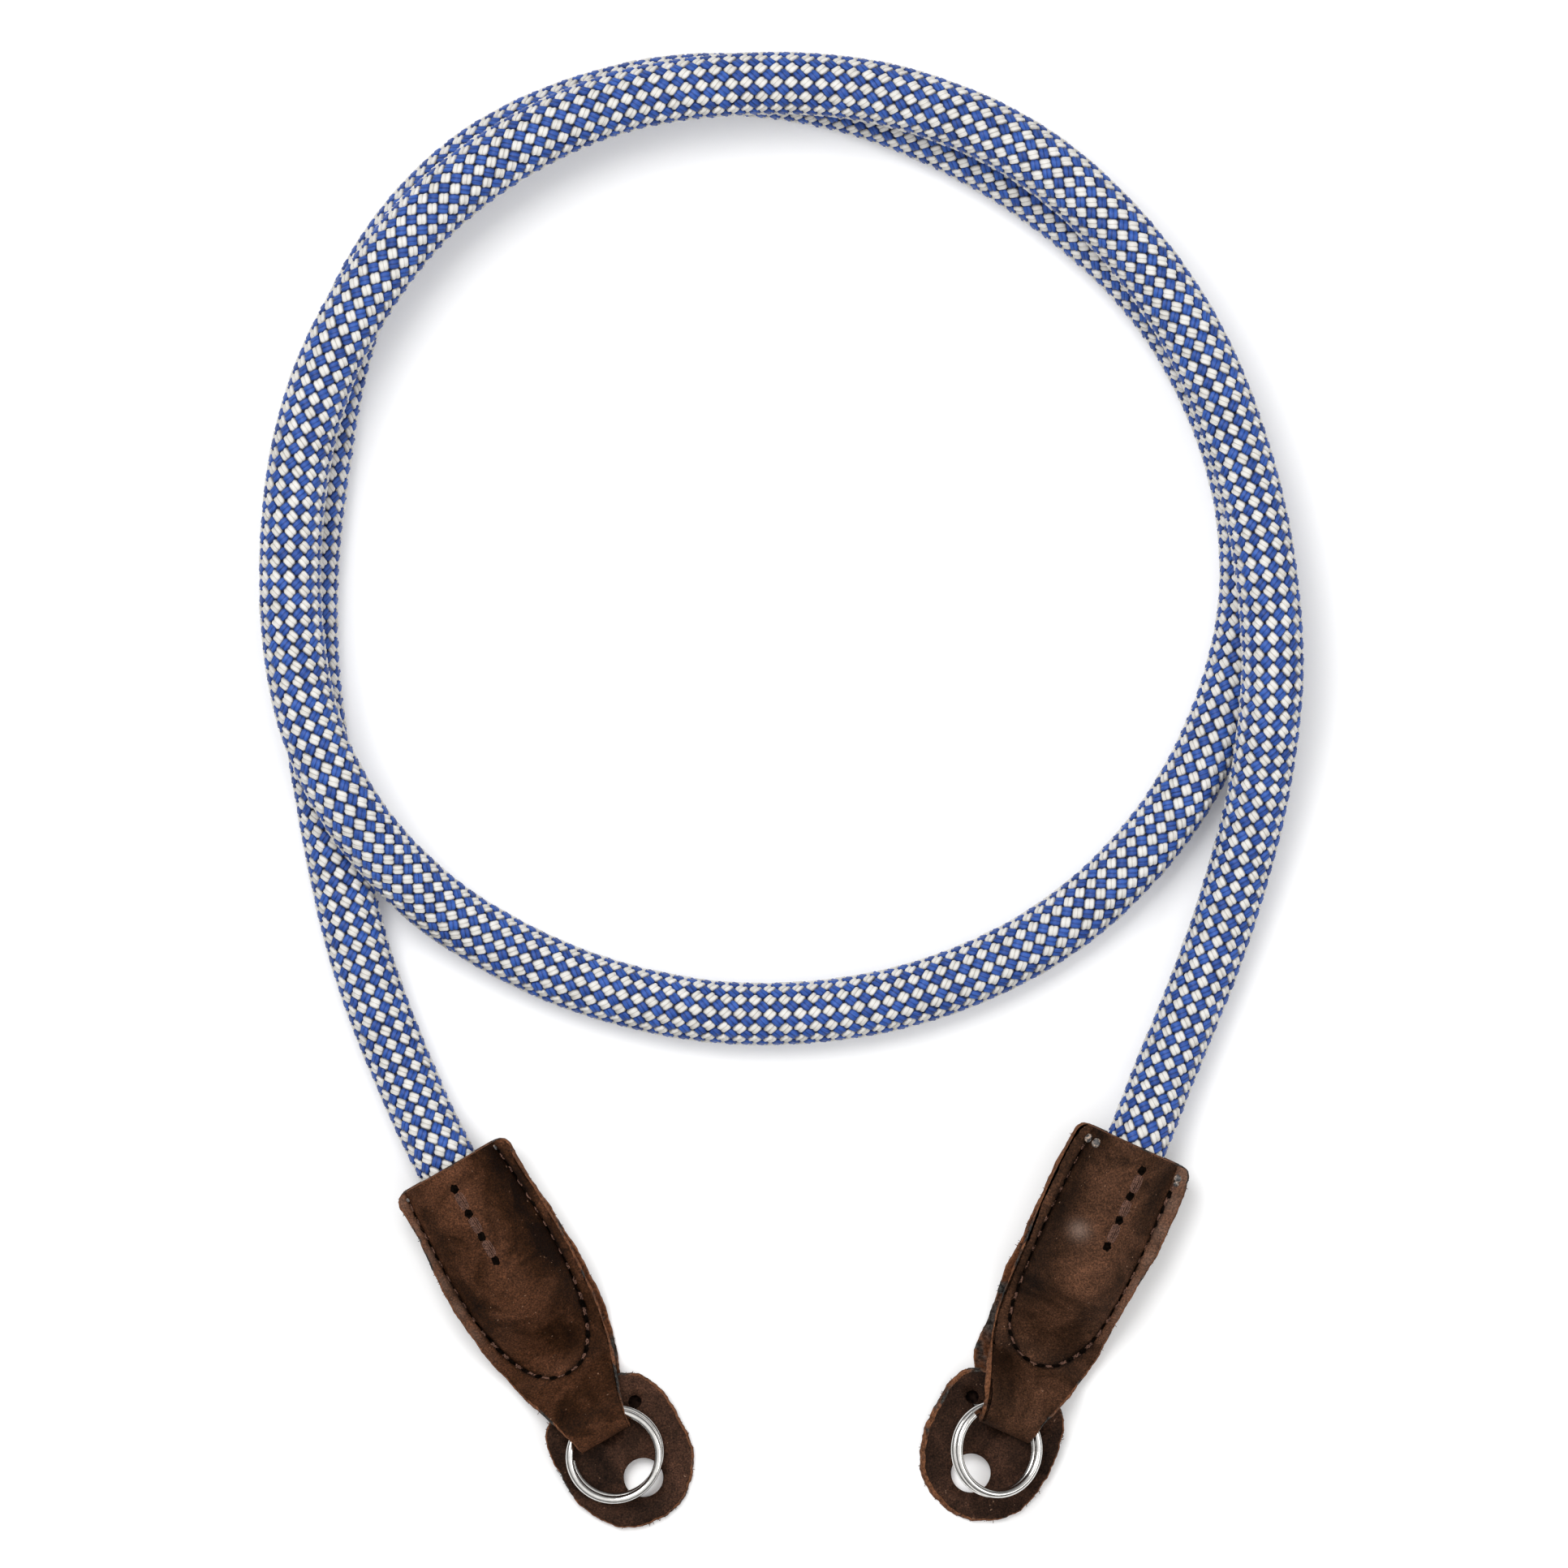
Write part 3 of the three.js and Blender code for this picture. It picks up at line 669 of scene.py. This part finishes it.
def leather_end(end, seed):
    """One folded strip, made as a flat grid with a thickness and then bent into place."""
    bm = bmesh.new()
    bmesh.ops.create_grid(bm, x_segments=STRIP_STEPS, y_segments=STRIP_WIDTH_STEPS, size=0.5)
    raised = bmesh.ops.extrude_face_region(bm, geom=bm.faces[:])
    for item in raised["geom"]:
        if isinstance(item, bmesh.types.BMVert):
            item.co.z = 1
    bmesh.ops.recalc_face_normals(bm, faces=bm.faces)
    for face in bm.faces:
        heights = [vert.co.z for vert in face.verts]
        face.material_index = 1 if min(heights) != max(heights) else 2 if min(heights) > 0.5 else 0
    bmesh.ops.subdivide_edges(
        bm, edges=[e for e in bm.edges if e.verts[0].co.z != e.verts[1].co.z], cuts=3, use_grid_fill=True)
    flat = np.array([vert.co for vert in bm.verts])
    share = 0.5 + flat[:, 0]
    from_mouth = np.minimum(share, 1 - share)
    closer = np.where(from_mouth < 0.1, from_mouth * (0.3 + 7 * from_mouth), from_mouth)
    out = flat[:, 2] - 0.5
    at_mouth = np.clip(1 - closer * fold_runs[-1] / MOUTH_SLANT_FADE, 0, 1)
    closer += np.where(share > 0.5, MOUTH_SLANT * (0.5 - out) * at_mouth, 0) / fold_runs[-1]
    share = np.where(share < 0.5, closer, 1 - closer)
    along = point_on(fold, fold_runs, share * fold_runs[-1])[:, 0]
    beside = np.abs(flat[:, 1]) > 0.4999
    stray = ragged(along + 200 * (share > 0.5), seed)
    swell = EDGE_SWELL * (1 - (2 * out) ** 2) - EDGE_ROUNDING * (np.abs(out) > 0.49)
    slanted = (flat[:, 1] * end["inner"] > 0) & (share > 0.5)
    swell -= np.where(slanted, STRIP_SLANT * end["slant"] * (0.5 - out), 0)
    reach = half_width(along) + np.where(beside, stray * 0.8 + swell, 0)
    reach += side_trim(end, along, flat[:, 1])
    across = 2 * flat[:, 1] * reach
    inward = across * end["inner"]
    skin = np.abs(out) > 0.49
    seam = np.exp(-(seam_distance(along, inward, end) / 0.4) ** 2)
    out = np.where(skin & ~beside, out * (1 - SEAM_GROOVE * seam), out)
    local = strip_point(share, across, out, end)
    for vert, place in zip(bm.verts, placed(end, local)):
        vert.co = place
    piece = add_piece(f"{end['side']}_leather", bm, [LEATHERS[end["side"]], raw_edge, flesh])
    # Painted shade and painted highlight on the upper skin, stored for the material.
    painted_shading = piece.data.attributes.new("painted_shading", "FLOAT", "POINT")
    painted_shading.data.foreach_set("value", np.where(share > 0.5, painted_shading_of(along, inward, end), 0))
    # Greying: a greyer band along the outer margin, stronger in places, fading out before the fold.
    uneven = (0.7 + 0.3 * np.sin(along * 1.3)) * np.clip((32 - along) / 8, 0, 1)
    grey_amount = 0.3 * uneven * np.clip((-inward / seam_half(along, end) - 1.04) / 0.12, 0, 1)
    stain = np.zeros_like(along)
    if end["side"] == "right":
        # On the right end a pale grey spot on the dome: a painted highlight.
        grey_amount += 0.75 * np.exp(-(np.hypot(along - 16, across + 2.5) / 1.4) ** 2)
        stain = np.clip(1.6 - np.abs(along - 34.5) / 3, 0, 1) * (share < 0.5) * (inward > 0)
    greying = piece.data.attributes.new("greying", "FLOAT", "POINT")
    greying.data.foreach_set("value", np.where(share > 0.5, grey_amount, 0))
    dye = piece.data.attributes.new("dye", "FLOAT", "POINT")
    dye.data.foreach_set("value", 0.9 * stain)
    return piece


leathers = {}
for end, seed in zip(ENDS, (21, 22)):
    piece = leather_end(end, seed)
    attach(piece, "root")
    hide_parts(f"{end['side']}_leather_end")
    leathers[end["side"]] = piece

# Split rings. Each is springy stainless wire wound into two turns that lie on each other, and it hangs in
# the leather's fold. The right one leans over in its fold.
WIRE_SIDES = 6
RING_POINTS = 280
CHANGEOVER = 30
WIRE_END_GAP = 10

steel, scratches = grained_material(
    "steel", 1400.0, 5.0, (0.3, (0.56, 0.545, 0.52)), (0.7, (0.68, 0.665, 0.64)), Metallic=1.0)
steel_tree = steel.node_tree
uneven = node(steel_tree, "ShaderNodeMapRange")
uneven.inputs["To Min"].default_value = 0.1
uneven.inputs["To Max"].default_value = 0.24
steel_tree.links.new(scratches.outputs["Fac"], uneven.inputs["Value"])
steel_tree.links.new(uneven.outputs["Result"], steel_tree.nodes["Principled BSDF"].inputs["Roughness"])


def split_ring(end):
    """The wire's path, tilted as the guard under it is or, on the right, leaning by its own angle."""
    sweep = 720 - 2 * CHANGEOVER - WIRE_END_GAP
    turned = np.linspace(0, sweep, RING_POINTS)
    step = np.clip((turned - sweep / 2 + CHANGEOVER) / (2 * CHANGEOVER), 0, 1)
    level = step * step * (3 - 2 * step) - 0.5
    angle = np.radians(end["wire_end"] - sweep + turned)
    x = RING_RADIUS * np.cos(angle) + level * end["splay"][0]
    y = end["inner"] * (RING_RADIUS * np.sin(angle) + level * end["splay"][1])
    z = level * (RING_WIRE + TURN_GAP)
    tilt, low_side = math.atan(GUARD_SLOPE), np.array([1.0, 0.0])
    if end["lean"]:
        mouth, tip = end["mouth"], end["tip"]
        heading = math.atan2(tip[1] - mouth[1], tip[0] - mouth[0])
        tilt, low_side = math.radians(end["lean"]), np.array([math.cos(heading), -math.sin(heading)])
    down = x * low_side[0] + y * low_side[1]
    slid = down * (math.cos(tilt) - 1) + z * math.sin(tilt)
    along, lift = end["ring_at"]
    local = np.stack([
        along + x + slid * low_side[0],
        y + slid * low_side[1],
        lift - down * math.sin(tilt) + z * math.cos(tilt),
    ], axis=1)
    radius = RING_WIRE / 2 * MM
    return round_line(f"{end['side']}_split_ring", [placed(end, local)], radius, WIRE_SIDES, steel)


for end in ENDS:
    piece = split_ring(end)
    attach(piece, "root")
    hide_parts(f"{end['side']}_ring")

# Ring guards. Each is a flat disc of the same leather, threaded on the fold by its slit, that keeps the
# ring off the camera. The camera's lug comes up through its punched hole.
GUARD_LENGTH = 24
GUARD_WIDTH = 21.2
GUARD_INWARD = 1.3
NEAR_SQUARENESS = 3.4
TIP_SQUARENESS = 2.1
GUARD_HOLE = 6.3
HOLE_ALONG = END_LENGTH + 8.3
HOLE_INWARD = 2
SLIT_LENGTH = 12.0
SLIT_WIDTH = 3.4
SLIT_PAST_STRIP = 0.3
SLIT_INWARD = 0.3
SLIT_END = (-0.7, 6.9)
SLIT_END_WIDTH = 2.1
SLIT_END_FLOOR = 0.35
GUARD_SIDES = 144
RAGGED_RADIUS = 11
PUNCH_FROM = -6
PUNCH_HEIGHT = 12
GUARD_MIDDLE = GUARD_NEAR_EDGE + GUARD_LENGTH / 2

guard_leather = leather_material(
    "guard_leather", (0.007, 0.0035, 0.0022), (0.027, 0.0133, 0.0083), (0.075, 0.035, 0.022), (0.7, 0.4, 0))
# A shallow pit at the slit's end floored with near-black: painted shadow for the shade beside the fold.
painted_shadow_pit, _ = grained_material(
    "slit_end_shadow", 1500.0, 4.0, (0.35, (0.003, 0.002, 0.002)), (0.7, (0.02, 0.011, 0.008)),
    Roughness=0.9, Specular_IOR_Level=0.0)


def guard_reach(towards, sideways):
    """Distance from the guard's middle to its edge: squarer towards the rope, rounder at the tip."""
    power = NEAR_SQUARENESS if towards < 0 else TIP_SQUARENESS
    along = abs(towards / (GUARD_LENGTH / 2)) ** power
    across = abs(sideways / (GUARD_WIDTH / 2)) ** power
    return (along + across) ** (-1 / power)


def guard_slant(end, towards, sideways, height):
    """How far the guard's edge is cut back above, most on the side that faces the other end."""
    facing = np.clip(0.35 + sideways * end["inner"] + 0.3 * towards, 0, 1)
    return end["slant"] * facing * height


def cutter(end, along, across, width, length, bottom, material):
    """A punch for a round hole, or for a slit with blunt ends, that stands in the guard."""
    bm = bmesh.new()
    bmesh.ops.create_circle(bm, cap_ends=True, radius=width / 2, segments=48)
    for vert in bm.verts:
        vert.co.y *= length / width
        vert.co.x *= 1 if length == width else 1.02 - (2 * vert.co.y / length) ** 4
    made = bmesh.ops.extrude_face_region(bm, geom=bm.faces[:])
    for item in made["geom"]:
        if isinstance(item, bmesh.types.BMVert):
            item.co.z = PUNCH_HEIGHT
    local = np.array([vert.co for vert in bm.verts]) + [along, across, bottom]
    for vert, place in zip(bm.verts, placed(end, local)):
        vert.co = place
    bmesh.ops.recalc_face_normals(bm, faces=bm.faces)
    return add_piece("punch", bm, [material], smooth=False)


def ring_guard(end, seed):
    """A disc with soft edges, bent to lie on the fold and the table, then punched."""
    profile = [(0, 0), (0.35, 0), (0.65, 0), (0.85, 0), (0.97, 0), (0.985, 0.04), (0.995, 0.14), (1, 0.32),
               (1.002, 0.5), (1, 0.68), (0.994, 0.86), (0.983, 0.97), (0.965, 1), (0.85, 1), (0.65, 1),
               (0.35, 1), (0, 1)]
    bm = bmesh.new()
    verts = [bm.verts.new((x, 0, z)) for x, z in profile]
    edges = [bm.edges.new(pair) for pair in zip(verts, verts[1:])]
    bmesh.ops.spin(
        bm, geom=verts + edges, cent=(0, 0, 0), axis=(0, 0, 1), dvec=(0, 0, 0),
        angle=2 * math.pi, steps=GUARD_SIDES, use_merge=True,
    )
    bmesh.ops.remove_doubles(bm, verts=bm.verts, dist=1e-5)
    bmesh.ops.recalc_face_normals(bm, faces=bm.faces)
    local = []
    for vert in bm.verts:
        rim = math.hypot(vert.co.x, vert.co.y)
        reach = guard_reach(vert.co.x / rim, vert.co.y / rim) if rim > 1e-6 else 0
        turn = math.atan2(vert.co.y, vert.co.x)
        if rim > 0.9:
            reach += float(ragged(np.array([turn * RAGGED_RADIUS]), seed)[0])
            reach -= guard_slant(end, vert.co.x, vert.co.y, vert.co.z)
        along = GUARD_MIDDLE + vert.co.x * reach
        across = vert.co.y * reach + end["inner"] * GUARD_INWARD
        local.append((along, across, float(guard_rest(along)) + vert.co.z * GUARD))
    for face in bm.faces:
        face.material_index = 1 if all(math.hypot(v.co.x, v.co.y) > 0.97 for v in face.verts) else 0
    for vert, place in zip(bm.verts, placed(end, local)):
        vert.co = place
    piece = add_piece(f"{end['side']}_guard", bm, [guard_leather, raw_edge])
    inner = end["inner"]
    # The last punch leaves a shallow pit floored with painted shadow at the slit's end.
    end_along = SLIT_ALONG + SLIT_END[0]
    bottom = float(guard_rest(end_along)) + SLIT_END_FLOOR
    punches = [
        cutter(end, SLIT_ALONG + SLIT_PAST_STRIP, inner * SLIT_INWARD,
               SLIT_WIDTH, SLIT_LENGTH, PUNCH_FROM, raw_edge),
        cutter(end, HOLE_ALONG, inner * HOLE_INWARD, GUARD_HOLE, GUARD_HOLE, PUNCH_FROM, raw_edge),
        cutter(end, end_along, inner * SLIT_END[1], SLIT_END_WIDTH, SLIT_END_WIDTH, bottom, painted_shadow_pit),
    ]
    for punch in punches:
        cut = piece.modifiers.new("cut", "BOOLEAN")
        cut.object = punch
        cut.solver = "EXACT"
        cut.material_mode = "TRANSFER"
    graph = bpy.context.evaluated_depsgraph_get()
    punched = bpy.data.meshes.new_from_object(piece.evaluated_get(graph))
    piece.modifiers.clear()
    piece.data = punched
    for punch in punches:
        bpy.data.objects.remove(punch)
    return piece


for end, seed in zip(ENDS, (31, 32)):
    piece = ring_guard(end, seed)
    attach(piece, "root")
    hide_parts(f"{end['side']}_ring_guard")

# Seams. A fine brown thread runs in a U round each leather end, two to three millimetres from the edge, and
# three thick stitches go down through the rope itself.
SEAM_PITCH = 2.5
STITCH_INSET = 0.55
STITCH_SINK = 0.42
PLY_ASIDE = 0.15
PLY_RADIUS = 0.13
LONG_PLIES = 6
LONG_PLY_STEP = 0.23
LONG_PLY_RADIUS = 0.125
LONG_INSET = 0.2
LONG_SINK = 0.45
LONG_ARCH = 0.6
LONG_STITCHES = {
    "left": [(3.6, -0.65), (8.1, -0.65), (12.3, -0.65), (16.7, -0.65)],
    "right": [(3.3, -2.1), (7.8, -2.1), (11.9, -2.1), (16.5, -2.1)],
}

thread_brown, _ = grained_material(
    "thread", 4500.0, 3.0, (0.35, (0.024, 0.011, 0.008)), (0.68, (0.19, 0.093, 0.062)),
    Roughness=0.7, Specular_IOR_Level=0.2)
# Needle holes are near-black discs laid on the leather: painted shade where the holes are.
painted_hole_shade, _ = grained_material(
    "needle_hole_shade", 2500.0, 2.0, (0.3, (0.001, 0.0007, 0.0005)), (0.7, (0.006, 0.004, 0.003)),
    Roughness=0.9, Specular_IOR_Level=0.0)


def top_skin(end, along, across, above=0.0):
    """Points on the upper face of the upper layer, given in millimetres along and across."""
    along, across = np.asarray(along, float), np.asarray(across, float)
    back = np.arange(turn_back, len(fold))
    order = back[np.argsort(fold[back, 0])]
    share = np.interp(along, fold[order, 0], fold_runs[order]) / fold_runs[-1]
    out = np.full(len(along), -0.5 - above / LEATHER)
    return strip_point(share, across, out, end)


def add_threads(name, end, lines, radius, roundness, material):
    """Thin round strands, each given as a list of points on the end, in one piece."""
    placed_lines = [placed(end, line) for line in lines]
    piece = round_line(name, placed_lines, radius * MM, roundness, material)
    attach(piece, "root")


def holes(end, name, spots, headings, half_sizes):
    """Needle holes as flat near-black discs drawn out along the thread, set just above the leather: painted
    shade where the holes are.
    """
    bm = bmesh.new()
    for (along, across), heading, (long, short) in zip(spots, headings, half_sizes):
        disc = bmesh.ops.create_circle(bm, cap_ends=True, radius=1, segments=12)
        local = np.array([vert.co for vert in disc["verts"]]) * [long, short, 0]
        local *= 1 + 0.16 * np.sin(np.arange(len(local)) * 2.4 + along * 7)[:, None]
        c, s = math.cos(heading), math.sin(heading)
        skin = top_skin(end, along + local[:, 0] * c - local[:, 1] * s,
                        across + local[:, 0] * s + local[:, 1] * c, 0.03)
        for vert, place in zip(disc["verts"], placed(end, skin)):
            vert.co = place
    bmesh.ops.recalc_face_normals(bm, faces=bm.faces)
    piece = add_piece(name, bm, [painted_hole_shade])
    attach(piece, "root")


for end, seed in zip(ENDS, (41, 42)):
    rng = np.random.default_rng(seed)
    line = seam_lines[end["side"]] * [1, end["inner"]]
    runs = run_lengths(line)
    count = int(runs[-1] / SEAM_PITCH)
    marks = np.linspace(0, runs[-1], count + 1)
    stitches = []
    for start, stop in zip(marks, marks[1:]):
        for ply in (-1, 1):
            t = np.linspace(0, 1, 9)
            flat = point_on(line, runs, start + STITCH_INSET + (stop - start - 2 * STITCH_INSET) * t)
            aside = PLY_ASIDE * ply * np.cos(2.4 * np.pi * t + rng.uniform(-0.5, 0.5))
            aside += rng.normal(0, 0.05)
            skin = top_skin(end, flat[:, 0] + aside * 0.3, flat[:, 1] + aside)
            skin[:, 2] += -STITCH_SINK + 0.4 * np.sin(np.pi * t) ** 0.5
            stitches.append(skin)
    add_threads(f"{end['side']}_seam", end, stitches, PLY_RADIUS, 2, thread_brown)
    spots = point_on(line, runs, marks)
    ahead = point_on(line, runs, np.clip(marks + 0.2, 0, runs[-1])) - point_on(line, runs, marks - 0.2)
    sizes = np.stack([rng.uniform(0.6, 0.88, len(marks)), rng.uniform(0.27, 0.4, len(marks))], axis=1)
    headings = np.arctan2(ahead[:, 1], ahead[:, 0]) + rng.normal(0.12, 0.12, len(marks))
    holes(end, f"{end['side']}_seam_holes", spots, headings, sizes)

    spots = [(along, across * end["inner"]) for along, across in LONG_STITCHES[end["side"]]]
    plies = []
    for (a0, c0), (a1, c1) in zip(spots, spots[1:]):
        for ply in range(LONG_PLIES):
            t = np.linspace(0, 1, 13)
            arch = np.sin(np.pi * t) ** 0.5
            off_middle = ply - (LONG_PLIES - 1) / 2
            fan = off_middle * LONG_PLY_STEP
            twist = 0.07 * np.sin(2 * np.pi * t * 0.5 + ply * 1.3)
            along = a0 + LONG_INSET + (a1 - a0 - 2 * LONG_INSET) * t
            across = c0 + (c1 - c0) * t + (fan + twist) * (0.35 + 0.65 * arch)
            skin = top_skin(end, along, across)
            skin[:, 2] += -LONG_SINK + LONG_ARCH * arch - 0.04 * abs(off_middle)
            plies.append(skin)
    add_threads(f"{end['side']}_rope_stitches", end, plies, LONG_PLY_RADIUS, 2, thread_brown)
    holes(end, f"{end['side']}_rope_stitch_holes", spots, [0.0] * 4, [(0.8, 0.58)] * 4)

# Knots. The ends of the seam's thread were melted into small dark beads, which sit on the leather where the
# seam starts and where it stops.
KNOT_FLATNESS = 0.55
KNOTS = {
    "left": [(1.1, 7.8, 0.5), (1.5, -8.1, 0.35)],
    "right": [(2.2, 6.6, 0.72), (2.35, 5.3, 0.78), (2.1, -8.2, 0.62), (3.0, -8.3, 0.45)],
}
bead, bead_grain = grained_material(
    "melted_thread", 1500.0, 4.0, (0.38, (0.01, 0.01, 0.011)), (0.5, (0.1, 0.09, 0.085)),
    (0.62, (0.5, 0.36, 0.27)), Roughness=0.45)
bead_grain.inputs["Roughness"].default_value = 0.7
bead_tree = bead.node_tree
bead_bump = node(bead_tree, "ShaderNodeBump", Strength=1.0, Distance=0.0002)
bead_tree.links.new(bead_grain.outputs["Fac"], bead_bump.inputs["Height"])
bead_tree.links.new(bead_bump.outputs["Normal"], bead_tree.nodes["Principled BSDF"].inputs["Normal"])

for end in ENDS:
    bm = bmesh.new()
    for along, across, size in KNOTS[end["side"]]:
        blob = bmesh.ops.create_icosphere(bm, subdivisions=3, radius=size)
        rough = np.array([vert.co for vert in blob["verts"]])
        rough *= 1 + 0.14 * np.sin(rough @ [7, 3, 5] + along)[:, None] * np.cos(rough @ [2, 8, 3])[:, None]
        seat = top_skin(end, [along], [across * end["inner"]], 0.12 * size)[0]
        for vert, place in zip(blob["verts"], placed(end, seat + rough * [1, 1, KNOT_FLATNESS])):
            vert.co = place
    piece = add_piece(f"{end['side']}_knots", bm, [bead])
    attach(piece, "root")

# Loose fibres. The leather's edges were cut by hand and never burnished, so short brown fibres of the hide
# stand out of them, in clumps.
EDGE_FIBRES = 1100
GUARD_FIBRES = 700
FIBRE_RADIUS = 0.045
LONGEST_FIBRE = 0.42
FIBRE_ROOT = 0.08
fibre_brown = edge_material("fibre", (0.02, 0.009, 0.005), (0.2, 0.085, 0.04))


def fibres(end, name, roots, outwards, seed):
    """Short bent fibres, in clumps, from points on an edge, pointing roughly outwards."""
    rng = np.random.default_rng(seed)
    strands = []
    for root, outward in zip(roots, outwards):
        reach = rng.gamma(1.5, 0.08)
        t = np.linspace(0, 1, 4)[:, None]
        bend = rng.normal(0, 0.5, 3) * [1, 1, 0.4]
        path = (outward * t + bend * t ** 2 * 0.7) * min(reach, LONGEST_FIBRE)
        strands.append(root - FIBRE_ROOT * outward + path)
    add_threads(name, end, strands, FIBRE_RADIUS, 0, fibre_brown)


for end, seed in zip(ENDS, (51, 52)):
    rng = np.random.default_rng(seed)
    share = rng.uniform(0.005, 0.42, EDGE_FIBRES)
    share = np.where(rng.uniform(0, 1, EDGE_FIBRES) < 0.5, share, 1 - share)
    along = point_on(fold, fold_runs, share * fold_runs[-1])[:, 0]
    side = np.where(rng.uniform(0, 1, EDGE_FIBRES) < 0.5, 1, -1)
    clumps = 0.15 + 0.85 * np.sin(along * 1.7 + 3 * np.sin(along * 0.37)) ** 4
    keep = rng.uniform(0, 1, EDGE_FIBRES) < clumps
    share, along, side = share[keep], along[keep], side[keep]
    depth = rng.uniform(-0.45, 0.45, len(share))
    slanted = (side * end["inner"] > 0) & (share > 0.5)
    reach = half_width(along) + side_trim(end, along, side)
    reach -= np.where(slanted, STRIP_SLANT * end["slant"] * (0.5 - depth), 0)
    roots = strip_point(share, side * reach, depth, end)
    outwards = np.stack([np.zeros(len(side)), side, np.zeros(len(side))], axis=1)
    fibres(end, f"{end['side']}_edge_fibres", roots, outwards, seed + 10)
    turn = rng.uniform(0, 2 * math.pi, GUARD_FIBRES)
    clumps = 0.15 + 0.85 * np.sin(turn * 5 + 3 * np.sin(turn * 2.3)) ** 4
    turn = turn[rng.uniform(0, 1, GUARD_FIBRES) < clumps]
    towards, sideways = np.cos(turn), np.sin(turn)
    height = rng.uniform(0.1, 0.95, len(turn))
    reach = np.array([guard_reach(x, y) for x, y in zip(towards, sideways)])
    reach -= guard_slant(end, towards, sideways, height) + 0.03
    along = GUARD_MIDDLE + towards * reach
    roots = np.stack([
        along, sideways * reach + end["inner"] * GUARD_INWARD, guard_rest(along) + GUARD * height], axis=1)
    outwards = np.stack([towards, sideways, np.zeros(len(turn))], axis=1)
    fibres(end, f"{end['side']}_guard_fibres", roots, outwards, seed + 20)

# Table. A plain white table top, under soft daylight from a large window overhead to the left and a weaker
# one to the right.
table_top, _, table_shader = new_material("table_top")
table_shader.inputs["Base Color"].default_value = (0.93, 0.93, 0.93, 1)
table_shader.inputs["Roughness"].default_value = 0.9
# The table top glows faintly: painted light that lifts the shadows on it.
table_shader.inputs["Emission Color"].default_value = (1, 1, 1, 1)
table_shader.inputs["Emission Strength"].default_value = 0.07
bm = bmesh.new()
bmesh.ops.create_grid(bm, x_segments=1, y_segments=1, size=2.5)
table = add_piece("table", bm, [table_top], smooth=False)

world = bpy.data.worlds.new("daylight")
bpy.context.scene.world = world
world.use_nodes = True
sky = world.node_tree
sky_place = node(sky, "ShaderNodeTexCoord")
sky_split = node(sky, "ShaderNodeSeparateXYZ")
sky.links.new(sky_place.outputs["Generated"], sky_split.inputs["Vector"])
sky.links.new(
    ramp(sky, sky_split.outputs["Z"],
         (0.0, (0.16,) * 3), (0.5, (0.22,) * 3), (0.82, (0.8,) * 3), (0.95, (1.3,) * 3)),
    sky.nodes["Background"].inputs["Color"],
)
sky.nodes["Background"].inputs["Strength"].default_value = 1.0
bpy.context.scene.view_settings.view_transform = "Standard"


def window(name, place, aim, size, power):
    """A large soft light, pointed at the strap."""
    light = bpy.data.lights.new(name, "AREA")
    light.size = size
    light.energy = power
    lamp = bpy.data.objects.new(name, light)
    lamp.location = place
    lamp.rotation_euler = (Vector(aim) - Vector(place)).to_track_quat("-Z", "Y").to_euler()
    bpy.context.collection.objects.link(lamp)


window("window_overhead", (-0.35, 0.55, 1.2), (0, 0.09, 0), 0.7, 11)
window("window_side", (0.9, -0.3, 0.9), (0, 0.09, 0), 0.6, 3.5)
